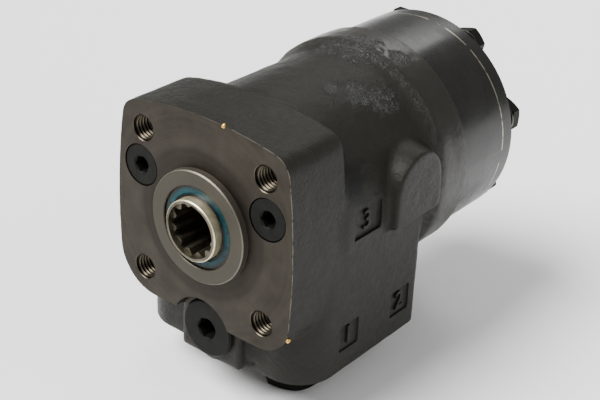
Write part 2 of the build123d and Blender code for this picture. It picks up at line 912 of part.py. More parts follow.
# Gear set: fixed ring with round lobes, orbiting rotor with an internal spline
valley_radius = lobe_circle - lobe_radius + 2 * eccentricity + valley_clearance
with BuildPart() as gear_ring:
    extrude(disc(gear_front, stack_radius), amount=-gear_width)
    with BuildSketch(section(gear_front)):
        Circle(valley_radius)
        for angle in lobe_angles:
            with PolarLocations(lobe_circle, 1, start_angle=angle):
                Circle(lobe_radius, mode=Mode.SUBTRACT)
        fillet(vertices(), valley_corner)
    extrude(amount=-gear_width, mode=Mode.SUBTRACT)
    ring_holes = round_pattern(gear_front, bolt_hole_radius, bolt_circle, lobe_angles)
    extrude(ring_holes, amount=-gear_width, mode=Mode.SUBTRACT)
    for face_station, depth in ((gear_front, -groove_depth), (gear_rear, groove_depth)):
        groove = disc(
            face_station, o_ring_circle + groove_half_width, hole=o_ring_circle - groove_half_width
        )
        extrude(groove, amount=depth, mode=Mode.SUBTRACT)
gear_ring.part.label = "gear_ring"
export_step(gear_ring.part, "parts/gear_ring.step")

rotor_centre = polar(eccentricity, lobe_phase)
rotor_front = gear_front + gear_side_gap
rotor_rear = gear_rear - gear_side_gap
lobe_direction = Vector(math.cos(math.radians(lobe_phase)), 0, math.sin(math.radians(lobe_phase)))
rotor_plane = Plane(
    origin=lobe_direction * eccentricity + Vector(0, rotor_front, 0),
    x_dir=lobe_direction,
    z_dir=(0, -1, 0),
)
with BuildPart() as gear_rotor:
    with BuildSketch(rotor_plane):
        with BuildLine():
            outline_steps = gear_teeth * points_per_tooth
            outline_points = [rotor_point(2 * math.pi / outline_steps * k) for k in range(outline_steps)]
            Spline(*outline_points, periodic=True)
        make_face()
    extrude(amount=rotor_front - rotor_rear)
    extrude(
        spline_outline(rotor_plane, spline_tip_radius, spline_root_radius),
        amount=rotor_front - rotor_rear,
        mode=Mode.SUBTRACT,
    )
gear_rotor.part.label = "gear_rotor"
export_step(gear_rotor.part, "parts/gear_rotor.step")

# Cardan shaft, leaning from the cross pin to the middle of the rotor
mesh_station = (gear_front + gear_rear) / 2 - cardan_mesh_setback
pin_centre = Vector(0, pin_station, 0)
mesh_centre = Vector(rotor_centre[0], mesh_station, rotor_centre[1])
cardan_line = (mesh_centre - pin_centre).normalized()
cardan_length = (mesh_centre - pin_centre).length
across_pin = Vector(1, 0, 0) - cardan_line * cardan_line.X
cardan_plane = Plane(origin=pin_centre, x_dir=across_pin, z_dir=cardan_line)
across_mesh = lobe_direction - cardan_line * cardan_line.dot(lobe_direction)
mesh_plane = Plane(origin=mesh_centre, x_dir=across_mesh, z_dir=cardan_line)
with BuildPart() as cardan_shaft:
    with BuildSketch(cardan_plane.offset(-cardan_head_front)):
        Circle(cardan_head_radius)
    extrude(amount=cardan_head_front + cardan_head_rear)
    with BuildSketch(cardan_plane.offset(cardan_head_rear)):
        Circle(cardan_shaft_radius)
    extrude(amount=cardan_length - cardan_head_rear)
    # Crowned teeth in the rotor
    half_tooth = cardan_tooth_length / 2
    extrude(
        spline_outline(
            mesh_plane.offset(-half_tooth), spline_tip_radius, spline_root_radius, cardan_tooth_gap
        ),
        amount=cardan_tooth_length,
    )
    # Fork slot for the cross pin
    slot_floor = pin_radius + cardan_slot_floor_gap
    with BuildSketch(cardan_plane.offset(-cardan_head_front)):
        Rectangle(2 * bore_radius, 2 * (pin_radius + cardan_slot_gap))
    extrude(amount=cardan_head_front + slot_floor, mode=Mode.SUBTRACT)
cardan_shaft.part.label = "cardan_shaft"
export_step(cardan_shaft.part, "parts/cardan_shaft.step")

# Spacer between the cardan shaft and the end cover, clear of the leaning teeth
cardan_lean = eccentricity / (mesh_station - pin_station)
spacer_front = mesh_station + half_tooth + spline_root_radius * cardan_lean + spacer_gap
spacer_rear = gear_rear - gear_side_gap
with BuildPart() as cardan_spacer:
    extrude(disc(spacer_front, spacer_radius, rotor_centre), amount=spacer_front - spacer_rear)
cardan_spacer.part.label = "cardan_spacer"
export_step(cardan_spacer.part, "parts/cardan_spacer.step")

# Distributor plate between the housing and the gear ring
with BuildPart() as distributor_plate:
    plate = disc(joint_station, stack_radius, hole=plate_bore_radius)
    extrude(plate, amount=-plate_thickness)
    plate_holes = round_pattern(joint_station, bolt_hole_radius, bolt_circle, lobe_angles)
    extrude(plate_holes, amount=-plate_thickness, mode=Mode.SUBTRACT)
    plate_feeds = round_pattern(joint_station, feed_radius, feed_circle, feed_angles)
    extrude(plate_feeds, amount=-plate_thickness, mode=Mode.SUBTRACT)
distributor_plate.part.label = "distributor_plate"
export_step(distributor_plate.part, "parts/distributor_plate.step")

with BuildPart() as end_cover:
    cover_section = turned(
        (gear_rear, 0),
        (gear_rear, stack_radius),
        (unit_end - cover_chamfer, stack_radius),
        (unit_end, stack_radius - cover_chamfer),
        (unit_end, 0),
    )
    revolve(cover_section, axis=Axis.Y)
    cover_holes = round_pattern(gear_rear, bolt_hole_radius, bolt_circle, lobe_angles)
    extrude(cover_holes, amount=-cover_thickness, mode=Mode.SUBTRACT)
end_cover.part.label = "end_cover"
export_step(end_cover.part, "parts/end_cover.step")

# O-rings at the three joint faces
o_ring_places = (
    ("housing_o_ring", joint_station - o_ring_radius - seal_fit),
    ("plate_o_ring", gear_front + o_ring_radius + seal_fit),
    ("cover_o_ring", gear_rear - o_ring_radius - seal_fit),
)
for name, station in o_ring_places:
    with BuildPart() as o_ring:
        with BuildSketch(Plane.YZ):
            with Locations((station, o_ring_circle)):
                Circle(o_ring_radius)
        revolve(axis=Axis.Y)
    o_ring.part.label = name
    export_step(o_ring.part, f"parts/{name}.step")

# Cover bolts with their sealing washers
head_front = unit_end + washer_thickness
with BuildPart() as cover_bolts:
    shanks = round_pattern(joint_station, bolt_radius, bolt_circle, lobe_angles)
    extrude(shanks, amount=joint_station - head_front)
    threads = round_pattern(joint_station, bolt_thread_radius, bolt_circle, lobe_angles)
    extrude(threads, amount=joint_station - bolt_end)
    for angle in lobe_angles:
        head = hexagon(head_front, bolt_head_flats, polar(bolt_circle, angle), angle)
        extrude(head, amount=-bolt_head_height)
    head_edges = edges().group_by(Axis.Y)[-1]
    chamfer(head_edges, bolt_head_chamfer)
cover_bolts.part.label = "cover_bolts"
export_step(cover_bolts.part, "parts/cover_bolts.step")

with BuildPart() as bolt_washers:
    rims = round_pattern(unit_end, washer_radius, bolt_circle, lobe_angles)
    extrude(rims, amount=-washer_thickness)
    washer_holes = round_pattern(unit_end, bolt_hole_radius, bolt_circle, lobe_angles)
    extrude(washer_holes, amount=-washer_thickness, mode=Mode.SUBTRACT)
bolt_washers.part.label = "bolt_washers"
export_step(bolt_washers.part, "parts/bolt_washers.step")

# Check valve: ball held in the rear face by a threaded bush
check_bush_front = joint_station - check_bush_length
with BuildPart() as check_bush:
    extrude(
        disc(check_bush_front, check_bush_radius - thread_fit, check_centre, check_bush_hole),
        amount=seal_fit - check_bush_length,
    )
check_bush.part.label = "check_bush"
export_step(check_bush.part, "parts/check_bush.step")

check_ball_setback = math.sqrt(check_ball_radius**2 - check_bush_hole**2) + valve_fit
with BuildPart() as check_ball:
    with Locations((check_centre[0], check_bush_front - check_ball_setback, check_centre[1])):
        Sphere(check_ball_radius)
check_ball.part.label = "check_ball"
export_step(check_ball.part, "parts/check_ball.step")

# Suction valves: a ball and a thrust pin under each of two cover bolts
suction_ball_station = suction_bore_end + suction_ball_radius + valve_fit
for (side, word), angle in zip(both_sides, reversed(suction_angles)):
    place = polar(bolt_circle, angle)
    with BuildPart() as suction_ball:
        with Locations((place[0], suction_ball_station, place[1])):
            Sphere(suction_ball_radius)
    suction_ball.part.label = f"suction_ball_{word}"
    export_step(suction_ball.part, f"parts/suction_ball_{word}.step")

with BuildPart() as suction_pins:
    pins = round_pattern(bolt_end - seal_fit, suction_pin_radius, bolt_circle, suction_angles)
    extrude(pins, amount=suction_pin_length)
suction_pins.part.label = "suction_pins"
export_step(suction_pins.part, "parts/suction_pins.step")

# Relief valve: plug, washer, adjusting screw, spring, poppet and seat
with BuildPart() as relief_plug:
    relief_head_rear = boss_front - relief_washer
    extrude(
        disc(relief_head_front, relief_head_radius, relief_centre),
        amount=relief_head_front - relief_head_rear,
    )
    chamfer(edges().group_by(Axis.Y)[0], relief_head_chamfer)
    extrude(
        disc(relief_head_rear, relief_tap_radius - thread_fit, relief_centre),
        amount=relief_head_rear - relief_tap_end + relief_tap_runout,
    )
    extrude(
        hexagon(relief_head_front, relief_socket_flats, relief_centre),
        amount=-relief_socket_depth,
        mode=Mode.SUBTRACT,
    )
relief_plug.part.label = "relief_plug"
export_step(relief_plug.part, "parts/relief_plug.step")

with BuildPart() as relief_plug_washer:
    extrude(
        disc(relief_head_rear, relief_head_radius - washer_inset, relief_centre, relief_tap_radius),
        amount=-relief_washer,
    )
relief_plug_washer.part.label = "relief_plug_washer"
export_step(relief_plug_washer.part, "parts/relief_plug_washer.step")

with BuildPart() as relief_screw:
    extrude(
        disc(relief_screw_front, relief_bore_radius - thread_fit, relief_centre),
        amount=-relief_screw_length,
    )
    extrude(
        hexagon(relief_screw_front, screw_socket_flats, relief_centre),
        amount=-relief_screw_length,
        mode=Mode.SUBTRACT,
    )
relief_screw.part.label = "relief_screw"
export_step(relief_screw.part, "parts/relief_screw.step")

relief_nose_front = relief_collar_front + relief_collar_length
nose_slope = (relief_nose_radius - relief_seat_hole + valve_fit) / (
    relief_seat_front - relief_nose_front
)
relief_nose_rear = relief_nose_front + relief_nose_length
with BuildPart() as relief_poppet:
    extrude(
        disc(relief_stem_front, relief_stem_radius, relief_centre),
        amount=relief_stem_front - relief_nose_front,
    )
    extrude(
        disc(relief_collar_front, relief_collar_radius, relief_centre),
        amount=-relief_collar_length,
    )
    extrude(
        disc(relief_nose_front, relief_nose_radius, relief_centre),
        amount=-relief_nose_length,
        taper=math.degrees(math.atan(nose_slope)),
    )
relief_poppet.part.label = "relief_poppet"
export_step(relief_poppet.part, "parts/relief_poppet.step")

with BuildPart() as relief_seat:
    extrude(
        disc(relief_seat_front, relief_bore_radius - pin_fit, relief_centre, relief_seat_hole),
        amount=relief_seat_front - relief_bore_end,
    )
relief_seat.part.label = "relief_seat"
export_step(relief_seat.part, "parts/relief_seat.step")

relief_spring = coil_spring(
    relief_screw_front + relief_screw_length + spring_end_gap,
    relief_collar_front - spring_end_gap,
    relief_spring_radius,
    relief_centre,
)
relief_spring.part.label = "relief_spring"
export_step(relief_spring.part, "parts/relief_spring.step")

# Shock valves, one each side: plug, adjusting screw, spring, ball and seat
shock_ball_station = (
    shock_seat_front - math.sqrt(shock_ball_radius**2 - shock_seat_hole**2) - valve_fit
)
shock_spring_reach = math.sqrt(shock_ball_radius**2 - shock_spring_radius**2)
for side, word in both_sides:
    centre = (side * shock_offset, shock_height)
    with BuildPart() as shock_plug:
        extrude(
            disc(shock_plug_front, shock_plug_radius - seal_fit, centre),
            amount=-shock_plug_length,
        )
        extrude(
            hexagon(shock_plug_front, shock_socket_flats, centre),
            amount=-shock_socket_depth,
            mode=Mode.SUBTRACT,
        )
    shock_plug.part.label = f"shock_plug_{word}"
    export_step(shock_plug.part, f"parts/shock_plug_{word}.step")

    with BuildPart() as shock_screw:
        extrude(
            disc(shock_screw_front, shock_bore_radius - thread_fit, centre),
            amount=-shock_screw_length,
        )
        extrude(
            hexagon(shock_screw_front, screw_socket_flats, centre),
            amount=-shock_screw_length,
            mode=Mode.SUBTRACT,
        )
    shock_screw.part.label = f"shock_screw_{word}"
    export_step(shock_screw.part, f"parts/shock_screw_{word}.step")

    with BuildPart() as shock_ball:
        with Locations((centre[0], shock_ball_station, centre[1])):
            Sphere(shock_ball_radius)
    shock_ball.part.label = f"shock_ball_{word}"
    export_step(shock_ball.part, f"parts/shock_ball_{word}.step")

    with BuildPart() as shock_seat:
        extrude(
            disc(shock_seat_front, shock_bore_radius - pin_fit, centre, shock_seat_hole),
            amount=-shock_seat_length,
        )
    shock_seat.part.label = f"shock_seat_{word}"
    export_step(shock_seat.part, f"parts/shock_seat_{word}.step")

    shock_spring = coil_spring(
        shock_screw_front + shock_screw_length + spring_end_gap,
        shock_ball_station - shock_spring_reach - spring_wire_radius,
        shock_spring_radius,
        centre,
    )
    shock_spring.part.label = f"shock_spring_{word}"
    export_step(shock_spring.part, f"parts/shock_spring_{word}.step")

# Hexagon plug that closes the tank port, on a sealing ring
tank_centre = (port_half_spacing, front_port_station)
with BuildPart() as tank_port_plug:
    with BuildSketch(Plane.XY.offset(-port_face - tank_plug_reach)):
        with Locations(tank_centre):
            RegularPolygon(tank_plug_flats / 2, 6, major_radius=False, rotation=tank_plug_turn)
    extrude(amount=tank_plug_reach - tank_plug_seal)
    chamfer(edges().group_by(Axis.Z)[0], tank_plug_chamfer)
    with BuildSketch(Plane.XY.offset(-port_face - tank_plug_seal - tank_plug_flange)):
        with Locations(tank_centre):
            Circle(tank_plug_flange_radius)
    extrude(amount=tank_plug_flange)
    with BuildSketch(Plane.XY.offset(-port_face - tank_plug_seal)):
        with Locations(tank_centre):
            Circle(port_radius - thread_fit)
    extrude(amount=tank_plug_seal + tank_plug_thread)
tank_port_plug.part.label = "tank_port_plug"
export_step(tank_port_plug.part, "parts/tank_port_plug.step")

with BuildPart() as tank_plug_ring:
    with BuildSketch(Plane.XY.offset(-port_face - tank_plug_seal)):
        with Locations(tank_centre):
            Circle(tank_plug_flange_radius - washer_inset)
            Circle(port_radius, mode=Mode.SUBTRACT)
    extrude(amount=tank_plug_seal)
tank_plug_ring.part.label = "tank_plug_ring"
export_step(tank_plug_ring.part, "parts/tank_plug_ring.step")
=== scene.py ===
import json
import math

import bpy
from mathutils import Matrix, Vector

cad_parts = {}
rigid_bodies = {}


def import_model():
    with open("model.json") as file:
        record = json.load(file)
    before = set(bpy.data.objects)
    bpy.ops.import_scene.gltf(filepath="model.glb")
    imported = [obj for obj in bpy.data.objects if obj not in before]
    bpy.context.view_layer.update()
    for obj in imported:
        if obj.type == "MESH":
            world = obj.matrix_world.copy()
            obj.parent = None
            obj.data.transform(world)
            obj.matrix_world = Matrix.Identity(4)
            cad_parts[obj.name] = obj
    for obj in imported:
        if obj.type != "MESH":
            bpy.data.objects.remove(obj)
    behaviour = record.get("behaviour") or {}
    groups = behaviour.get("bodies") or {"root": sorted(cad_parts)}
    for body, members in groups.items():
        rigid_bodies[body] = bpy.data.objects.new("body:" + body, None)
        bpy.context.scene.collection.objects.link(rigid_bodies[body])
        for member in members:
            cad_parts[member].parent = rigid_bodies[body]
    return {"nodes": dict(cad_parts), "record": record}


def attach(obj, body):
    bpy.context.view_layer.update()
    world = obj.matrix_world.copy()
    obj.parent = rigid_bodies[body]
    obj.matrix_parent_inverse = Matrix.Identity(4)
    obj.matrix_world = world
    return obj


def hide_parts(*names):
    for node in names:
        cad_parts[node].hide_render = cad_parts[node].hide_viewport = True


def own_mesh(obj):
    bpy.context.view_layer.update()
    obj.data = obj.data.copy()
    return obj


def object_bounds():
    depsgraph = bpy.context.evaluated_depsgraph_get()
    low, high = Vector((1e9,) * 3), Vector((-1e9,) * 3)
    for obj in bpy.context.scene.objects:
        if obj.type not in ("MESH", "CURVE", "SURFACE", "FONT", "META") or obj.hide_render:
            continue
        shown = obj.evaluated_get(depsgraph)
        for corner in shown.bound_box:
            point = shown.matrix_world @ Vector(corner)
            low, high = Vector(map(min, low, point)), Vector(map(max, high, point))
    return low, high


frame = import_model()
cad_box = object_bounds()

# Orbital steering unit. Blender's lengths are metres; mm turns a size in millimetres into one.
# The spline axis is Y, the mounting face is at Y = 0 and looks towards -Y, and Z is up.
# A profile is a row of (station along the axis, radius), both in millimetres.
mm = 0.001

# Housing, in millimetres
port_face = 60.0
block_half = 42.4
block_rear = 82.7
block_corner = 5.0
joint_face = 102.0
gear_rear = 132.2
ring_radius = 47.0
mount_offset = 29.17
spigot_radius = 22.2
spigot_height = 3.0
spigot_bevel = 0.5
spigot_root = 1.0
seal_radius = 16.25
seal_lead = 0.3
shock_place = (30.5, 13.8)
relief_drop = 46.0
notch_radius = 14.4
notch_depth = 5.0

# Tapped mounting holes, in millimetres
tap_minor = 4.25
tap_major = 5.0
tap_pitch = 1.5
tap_start = -1.0
tap_end = 15.0
tap_mouth = ((-1.0, 0), (-1.0, 6.3), (1.0, 4.3), (1.0, 0))

# Label windows, as low and high corners in millimetres, and the plain figures that stand in them
windows = (
    ((41.4, 30.5, -51.5), (50.0, 42.0, -40.0)),
    ((41.4, 63.0, -51.5), (50.0, 75.0, -40.0)),
    ((41.9, 34.5, -4.5), (50.0, 50.5, 7.5)),
)
window_rounding = 0.8
figures = (
    ("figure_one", "1", (41.7, 36.2, -45.8)),
    ("figure_two", "2", (41.7, 69.0, -45.8)),
    ("figure_three", "3", (42.2, 42.5, 1.5)),
)
figure_height = 11.0
figure_thickness = 0.5
figure_edge = 0.12

# Plugs with hexagon sockets, in millimetres and degrees
socket_turn = 20.0
socket_lead = 0.75
socket_clear = 0.2
socket_run = 1.0
shock_cap = ((0.2, 0), (0.2, 7.7), (0.6, 8.15), (9.4, 8.15), (9.4, 0))
shock_cap_flats = 6.0
shock_cap_depth = 5.0
relief_cap = ((3.0, 0), (3.0, 11.3), (3.6, 12.0), (4.4, 12.0), (4.4, 9.2), (15.9, 9.2), (15.9, 0))
relief_cap_flats = 8.0
relief_cap_depth = 6.5

# Hexagon plug of the tank port, in millimetres and degrees; it points down and is made along Y
tank_plug_place = (16.5, 36.0, 0)
tank_plug_end = 76.6
tank_plug_root = 62.0
tank_plug_turn = -10.4
tank_plug_flats = 22.0
tank_plug_corner = tank_plug_flats / math.sqrt(3)
tank_plug_crown = (
    (-tank_plug_end, 0),
    (-tank_plug_end, tank_plug_corner - 2.2),
    (1.4 - tank_plug_end, tank_plug_corner + 0.3),
    (-61.5, tank_plug_corner + 0.3),
    (-61.5, 0),
)
tank_plug_flange = (
    (-62.5, 0),
    (-62.5, 12.6),
    (-62.1, 13.0),
    (-61.2, 13.0),
    (-61.2, 9.4),
    (-50.0, 9.4),
    (-50.0, 0),
)
tank_plug_rounding = 0.25

# Cover bolts, in millimetres and degrees
bolt_circle = 38.0
bolt_count = 7
first_bolt_angle = 13.0
bolt_head_turn = 17.0
bolt_head_start = 141.4
bolt_head_end = 146.5
bolt_flats = 13.0
bolt_corner = bolt_flats / math.sqrt(3)
bolt_crown = (
    (140.9, 0),
    (140.9, 3.9),
    (141.2, 6.2),
    (bolt_head_start, 6.2),
    (141.5, bolt_corner + 0.3),
    (145.5, bolt_corner + 0.3),
    (bolt_head_end, bolt_corner - 1.5),
    (bolt_head_end, 4.6),
    (146.1, 4.2),
    (146.1, 0),
)
bolt_neck = ((140.9, 0), (140.9, 3.95), (141.2, 3.95), (141.2, 6.2), (141.8, 6.2), (141.8, 0))
bolt_shanks = ((-60, 80, -60), (60, 141.0, 60))

# Crumbs of yellow metal: place and size in millimetres, and the waves on them as a share of the size
crumbs = (
    ("edge_crumb", (9.5, 0.5, 42.4), 0.9, 0.9),
    ("corner_crumb", (41.2, 0.9, -31.3), 0.9, 1.1),
)
crumb_raggedness = 0.6

# Camera, fitted to the four mounting holes: place in metres, angles in degrees, lens in millimetres
camera_place = (0.28111, -0.30291, 0.23265)
camera_azimuth = 38.02
camera_elevation = 28.16
camera_roll = 2.66
camera_lens = 78.85
camera_near = 0.01

# Floor and lights: places and widths in metres, the key light's width in degrees
floor_size = 8.0
floor_gap = 0.0002
studio_strength = 0.45
key_place = (-0.35, -0.45, 0.82)
key_width = 35.0
key_strength = 7.5
softboxes = (
    ("right_softbox", (0.7, 0.1, 0.6), 0.4, 2.0),
    ("rear_softbox", (-0.26, 0.76, 0.72), 0.4, 2.6),
)

# Casting skin, in millimetres apart from the counts
skin_voxel = 0.8
skin_rounding = 9
cast_wave_size = 7.0
cast_wave_height = 0.35
corner_sides = 64

# Fineness of turned pieces and threads; the merge distance is in metres
turned_sides = 96
thread_steps = 40
overlap = 0.05
merge_distance = 1e-6


def only(piece):
    """Selects one piece alone and makes it the active one."""
    if bpy.context.object and bpy.context.object.mode != "OBJECT":
        bpy.ops.object.mode_set(mode="OBJECT")
    bpy.ops.object.select_all(action="DESELECT")
    piece.select_set(True)
    bpy.context.view_layer.objects.active = piece
    return piece


def apply_place(piece):
    """Moves the place of a piece into its mesh, so that its object sits at the origin."""
    only(piece)
    bpy.ops.object.transform_apply(location=True, rotation=True, scale=True)
    return piece


def moved(piece, shift):
    """Moves a piece by a shift in millimetres."""
    piece.location = [c * mm for c in shift]
    return apply_place(piece)


def upright(piece):
    """Turns a piece made along Y to stand along Z."""
    only(piece)
    piece.rotation_euler = (math.pi / 2, 0, 0)
    return apply_place(piece)


def modify(piece, name, kind, **settings):
    """Adds a modifier to a piece and applies it."""
    only(piece)
    modifier = piece.modifiers.new(name, kind)
    for key, value in settings.items():
        setattr(modifier, key, value)
    bpy.ops.object.modifier_apply(modifier=modifier.name)
    return piece


def smooth(piece, angle=35.0):
    """Smooth shading that keeps the edges sharper than an angle."""
    only(piece)
    bpy.ops.object.shade_smooth_by_angle(angle=math.radians(angle))
    return piece


def put(piece, name, body="housing_body", replaces=()):
    """Names a finished piece and hands it to the frame."""
    piece.name = name
    piece.data.name = name
    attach(piece, body)
    if replaces:
        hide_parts(*replaces)
    return piece


def drawn(points):
    """A chain of edges through points in millimetres, drawn by extruding one vertex."""
    bpy.ops.object.select_all(action="DESELECT")
    bpy.ops.mesh.primitive_plane_add(size=mm, location=[c * mm for c in points[0]])
    piece = apply_place(bpy.context.object)
    bpy.ops.object.mode_set(mode="EDIT")
    bpy.ops.mesh.select_all(action="SELECT")
    bpy.ops.mesh.merge(type="CENTER")
    for last, point in zip(points, points[1:]):
        step = [(b - a) * mm for a, b in zip(last, point)]
        bpy.ops.mesh.extrude_region_move(TRANSFORM_OT_translate={"value": step})
    bpy.ops.object.mode_set(mode="OBJECT")
    return piece


def turned(profile, centre=(0, 0)):
    """A solid turned about a line along Y, whose half section is a closed profile."""
    x, z = centre
    closed = list(profile) + [profile[0]]
    piece = drawn([(x, station, z + radius) for station, radius in closed])
    bpy.ops.object.mode_set(mode="EDIT")
    bpy.ops.mesh.select_all(action="SELECT")
    bpy.ops.mesh.spin(
        steps=turned_sides, angle=2 * math.pi, center=(x * mm, 0, z * mm), axis=(0, 1, 0)
    )
    bpy.ops.mesh.select_all(action="SELECT")
    bpy.ops.mesh.remove_doubles(threshold=merge_distance)
    bpy.ops.mesh.dissolve_degenerate(threshold=merge_distance)
    bpy.ops.mesh.select_all(action="SELECT")
    bpy.ops.mesh.normals_make_consistent(inside=False)
    bpy.ops.object.mode_set(mode="OBJECT")
    return piece


def hoop(start, end, inner, outer, centre=(0, 0)):
    """A plain ring along Y, or a round bar where its inner radius is nothing."""
    return turned([(start, inner), (start, outer), (end, outer), (end, inner)], centre)


def box(low, high):
    """A block between two corners in millimetres."""
    bpy.ops.object.select_all(action="DESELECT")
    middle = [(a + b) / 2 * mm for a, b in zip(low, high)]
    bpy.ops.mesh.primitive_cube_add(size=1.0, location=middle)
    piece = bpy.context.object
    piece.scale = [(b - a) * mm for a, b in zip(low, high)]
    return apply_place(piece)


def prism(sides, radius, start, end, centre=(0, 0), turn=0.0, axis="Y"):
    """A many-sided bar along Y or Z, its corners on a radius, turned about itself by some degrees."""
    bpy.ops.object.select_all(action="DESELECT")
    x, other = centre
    middle = (start + end) / 2
    place = (x, middle, other) if axis == "Y" else (x, other, middle)
    tilt = (math.pi / 2, math.radians(turn), 0) if axis == "Y" else (0, 0, math.radians(turn))
    bpy.ops.mesh.primitive_cylinder_add(
        vertices=sides,
        radius=radius * mm,
        depth=abs(end - start) * mm,
        location=[c * mm for c in place],
        rotation=tilt,
    )
    return apply_place(bpy.context.object)


def joined(pieces):
    """Several pieces as one object, which keeps the first one's slots."""
    only(pieces[0])
    for piece in pieces[1:]:
        piece.select_set(True)
    bpy.ops.object.join()
    return bpy.context.object


def cut(piece, tool, operation="DIFFERENCE"):
    """Cuts a piece with a tool, or joins or intersects them, and drops the tool."""
    modify(piece, "cut", "BOOLEAN", object=tool, operation=operation, solver="MANIFOLD")
    bpy.data.objects.remove(tool, do_unlink=True)
    return piece


def united(pieces):
    """Several overlapping solids as one closed solid."""
    whole = pieces[0]
    for piece in pieces[1:]:
        cut(whole, piece, "UNION")
    return whole


def finish_slots(piece, materials, index=0):
    """Gives a piece its material slots and puts all its faces in one of them."""
    piece.data.materials.clear()
    for material in materials:
        piece.data.materials.append(material)
    for face in piece.data.polygons:
        face.material_index = index
    return piece


def rounded(piece, width, angle=30.0):
    """Rounds every edge sharper than an angle."""
    return modify(
        piece,
        "edges",
        "BEVEL",
        width=width * mm,
        segments=2,
        limit_method="ANGLE",
        angle_limit=math.radians(angle),
        miter_outer="MITER_ARC",
    )


# Materials. Grain sizes are millimetres. Each place where a finish changes is an edge,
# given in millimetres as where the change starts and where it ends.
front_edge = (0.1, 0.4)
chipped_side = (-5.0, 41.0)
fillet_edges = ((82.0, 84.0), (85.6, 86.6))
rear_ring_edge = (84.0, 86.0)
rear_gloss_edge = (84.5, 86.5)
darker_ring_edges = ((21.8, 23.0), (28.5, 30.5))
collar_edge = (21.9, 22.3)
rim_highlight_edges = ((21.7, 21.85), (22.2, 22.3))
root_shade_edges = ((4.35, 4.75), (5.05, 5.15))
joint_line_edge = (0.2, 0.4)
shaft_edge = (11.5, 11.8)
seal_lip_shade_edge = (12.9, 13.5)
seal_case_edge = (15.1, 15.3)

# Wet, lumpy places in the enamel, and painted shade in the corner behind the block's rear edge: centre and
# reach in millimetres
wet_patches = (
    ((2.0, 84.0, 45.0), 13.0),
    ((-8.0, 80.0, 43.0), 8.0),
    ((14.0, 55.0, 41.0), 6.0),
    ((19.5, 62.0, 38.9), 9.0),
    ((26.0, 71.0, 35.0), 10.0),
    ((18.0, 92.5, 43.4), 6.0),
)
corner_shade_patch = ((39.0, 36.5, 17.0), 14.0)


def linear(code):
    """An sRGB hex colour as linear RGBA."""
    channels = [int(code[k : k + 2], 16) / 255 for k in (1, 3, 5)]
    return [c / 12.92 if c <= 0.04045 else ((c + 0.055) / 1.055) ** 2.4 for c in channels] + [1.0]


def add(material, kind, sockets=None, **settings):
    """Adds a node with its settings, values and links."""
    node = material.node_tree.nodes.new(kind)
    for key, value in settings.items():
        setattr(node, key, value)
    for key, value in (sockets or {}).items():
        if isinstance(value, bpy.types.NodeSocket):
            material.node_tree.links.new(value, node.inputs[key])
        else:
            node.inputs[key].default_value = value
    return node


def new_material(name, **values):
    """A material with a principled shader whose plain values are set on its own sockets."""
    material = bpy.data.materials.new(name)
    material.use_nodes = True
    shader = material.node_tree.nodes["Principled BSDF"]
    for key, value in values.items():
        shader.inputs[key.replace("_", " ")].default_value = value
    return material, shader


def join_to(material, shader, key, socket):
    """Feeds a value to one of a shader's sockets."""
    material.node_tree.links.new(socket, shader.inputs[key])


def place_of(material):
    """Object coordinates, which are metres in the unit's own frame."""
    return add(material, "ShaderNodeTexCoord").outputs["Object"]


def grain(material, place, size, detail=3.0, roughness=0.6):
    """Noise whose features are about a size in millimetres."""
    return add(
        material,
        "ShaderNodeTexNoise",
        {"Vector": place, "Scale": 1 / (size * mm), "Detail": detail, "Roughness": roughness},
    ).outputs["Fac"]


def band(material, value, low, high, start=0.0, end=1.0):
    """A value that goes from start to end while another goes from low to high."""
    return add(
        material,
        "ShaderNodeMapRange",
        {"Value": value, "From Min": low, "From Max": high, "To Min": start, "To Max": end},
        clamp=True,
    ).outputs["Result"]


def math_of(material, operation, first, second=0.0):
    """The sum, difference or the like of two values."""
    return add(material, "ShaderNodeMath", {0: first, 1: second}, operation=operation).outputs["Value"]


def times(material, first, second):
    """The product of two values."""
    return math_of(material, "MULTIPLY", first, second)


def past(material, value, edge, start=0.0, end=1.0):
    """A value that goes from start to end across an edge."""
    return band(material, value, edge[0] * mm, edge[1] * mm, start, end)


def between(material, value, edges):
    """One between two edges and nothing outside them."""
    rise, fall = edges
    return times(material, past(material, value, rise), past(material, value, fall, 1.0, 0.0))


def blend_colours(material, factor, first, second):
    """The first colour where the factor is nothing, the second where it is one."""
    return add(
        material,
        "ShaderNodeMix",
        {"Factor": factor, "A": first, "B": second},
        data_type="RGBA",
    ).outputs["Result"]


def two_tone(material, value, low, high, dark, light):
    """A dark colour that turns light while a value goes from low to high."""
    return blend_colours(material, band(material, value, low, high), linear(dark), linear(light))


def parts_of(material, vector):
    """The x, y and z of a vector."""
    return add(material, "ShaderNodeSeparateXYZ", {"Vector": vector}).outputs


def near(material, place, centre, reach, edge):
    """One close to a point and nothing beyond a reach, with a ragged edge. Lengths are millimetres."""
    distance = add(
        material,
        "ShaderNodeVectorMath",
        {0: place, 1: [c * mm for c in centre]},
        operation="DISTANCE",
    ).outputs["Value"]
    core, limit = 1.2 * reach * mm, 1.6 * reach * mm
    ragged = math_of(material, "ADD", distance, times(material, edge, limit))
    return band(material, ragged, core, limit, 1.0, 0.0)


def highest(material, values):
    """The largest of several values."""
    top = values[0]
    for value in values[1:]:
        top = math_of(material, "MAXIMUM", top, value)
    return top


def off_line(material, across, up):
    """Distance from a line along Y, from how far a point lies across and above it."""
    flat = add(material, "ShaderNodeCombineXYZ", {"X": across, "Z": up}).outputs["Vector"]
    return add(material, "ShaderNodeVectorMath", {0: flat}, operation="LENGTH").outputs["Value"]


def off_axis(material, place):
    """Distance from the spline axis."""
    x, _, z = parts_of(material, place)
    return off_line(material, x, z)


def rings(material, length, spacing):
    """Noise that only changes with one length, like turning marks."""
    line = add(material, "ShaderNodeCombineXYZ", {"X": length}).outputs["Vector"]
    return grain(material, line, spacing, detail=4.0)


